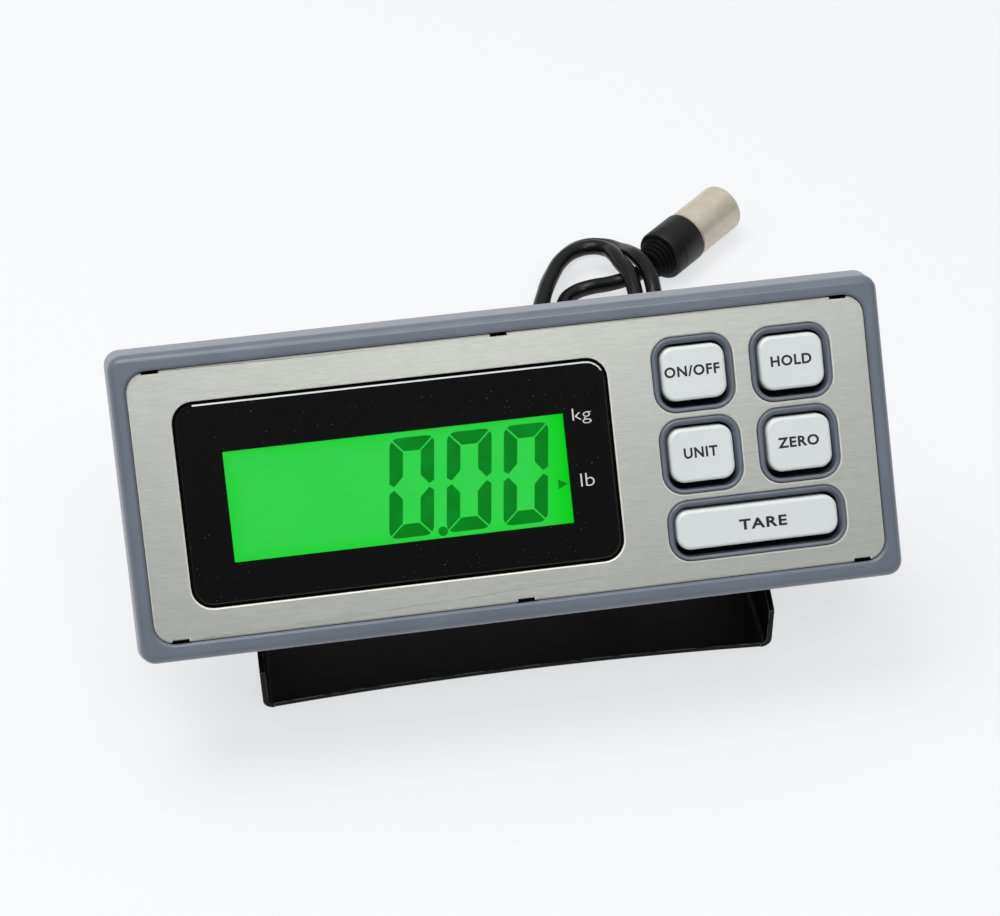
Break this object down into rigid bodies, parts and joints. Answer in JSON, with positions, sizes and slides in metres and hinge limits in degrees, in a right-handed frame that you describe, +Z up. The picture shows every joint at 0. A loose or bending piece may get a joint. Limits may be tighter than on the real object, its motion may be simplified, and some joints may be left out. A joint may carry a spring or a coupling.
{
  "type": "remote display indicator",
  "caption": "Flat rectangular remote display indicator: backlit window and keys in a steel faced head, tilting between the ears of a sheet steel stand, with signal cable and round plug.",
  "frame": {"origin": "centre of the stand's base, on the face that rests on the table", "axes": "+X to the right along the casing's width as one faces the display, +Y to the back, +Z up"},
  "size_m": [0.2024, 0.2068, 0.102],
  "materials": {
    "casing": "satin",
    "steel_face": "brushed",
    "lens": "gloss",
    "display": "gloss",
    "holder": "matte",
    "light": "gloss",
    "strip": "matte",
    "board": "satin",
    "chip": "matte",
    "screw": "satin",
    "key": "satin",
    "plunger": "matte",
    "brass": "satin",
    "washer": "matte",
    "stand": "satin",
    "knob": "matte",
    "cable": "satin",
    "plug_rubber": "matte",
    "nickel": "satin",
    "tape": "matte"
  },
  "bodies": {
    "stand": {"stand_bracket": "stand", "cable_lead": "cable", "cable_coil": "cable", "cable_tail": "cable", "plug_boot": "plug_rubber", "plug_bushing": "plug_rubber", "plug_shell": "nickel", "plug_core": "chip", "plug_contacts": "brass"},
    "knob_left": {"knob_left": "knob", "stud_left": "screw"},
    "knob_right": {"knob_right": "knob", "stud_right": "screw"},
    "key_on_off": {"key_on_off": "key", "plunger_on_off": "plunger"},
    "key_hold": {"key_hold": "key", "plunger_hold": "plunger"},
    "key_unit": {"key_unit": "key", "plunger_unit": "plunger"},
    "key_zero": {"key_zero": "key", "plunger_zero": "plunger"},
    "key_tare": {"key_tare": "key", "plunger_tare": "plunger"},
    "head": {"front_bezel": "casing", "rear_cover": "casing", "faceplate": "steel_face", "window_lens": "lens", "lens_tape": "tape", "lcd_glass": "display", "lcd_holder": "holder", "diffuser_sheet": "light", "light_guide": "light", "backlight_lamps": "light", "contact_strips": "strip", "main_board": "board", "controller_chip": "chip", "board_parts": "screw", "switch_bodies": "chip", "board_screws": "screw", "case_screws": "screw", "pivot_inserts": "brass", "pivot_washers": "washer", "board_socket": "holder", "harness_plug": "holder", "harness_wires": "cable", "inner_cable": "cable", "strain_relief": "plug_rubber"}
  },
  "joints": [
    {"name": "head_tilt", "type": "hinge", "parent": "stand", "child": "head", "pos_m": [0, 0, 0.0521], "axis": [-1, 0, 0], "range_deg": [-18, 40], "deforming": ["cable_lead"]},
    {"name": "clamp_left", "type": "hinge", "parent": "head", "child": "knob_left", "pos_m": [-0.075, 0, 0.0521], "axis": [1, 0, 0], "continuous": true},
    {"name": "clamp_right", "type": "hinge", "parent": "head", "child": "knob_right", "pos_m": [0.075, 0, 0.0521], "axis": [1, 0, 0], "continuous": true},
    {"name": "press_on_off", "type": "slide", "parent": "head", "child": "key_on_off", "axis": [0, 0.766, -0.6428], "range_m": [0, 0.0005], "stiffness_N_per_m": 2500},
    {"name": "press_hold", "type": "slide", "parent": "head", "child": "key_hold", "axis": [0, 0.766, -0.6428], "range_m": [0, 0.0005], "stiffness_N_per_m": 2500},
    {"name": "press_unit", "type": "slide", "parent": "head", "child": "key_unit", "axis": [0, 0.766, -0.6428], "range_m": [0, 0.0005], "stiffness_N_per_m": 2500},
    {"name": "press_zero", "type": "slide", "parent": "head", "child": "key_zero", "axis": [0, 0.766, -0.6428], "range_m": [0, 0.0005], "stiffness_N_per_m": 2500},
    {"name": "press_tare", "type": "slide", "parent": "head", "child": "key_tare", "axis": [0, 0.766, -0.6428], "range_m": [0, 0.0005], "stiffness_N_per_m": 2500}
  ]
}
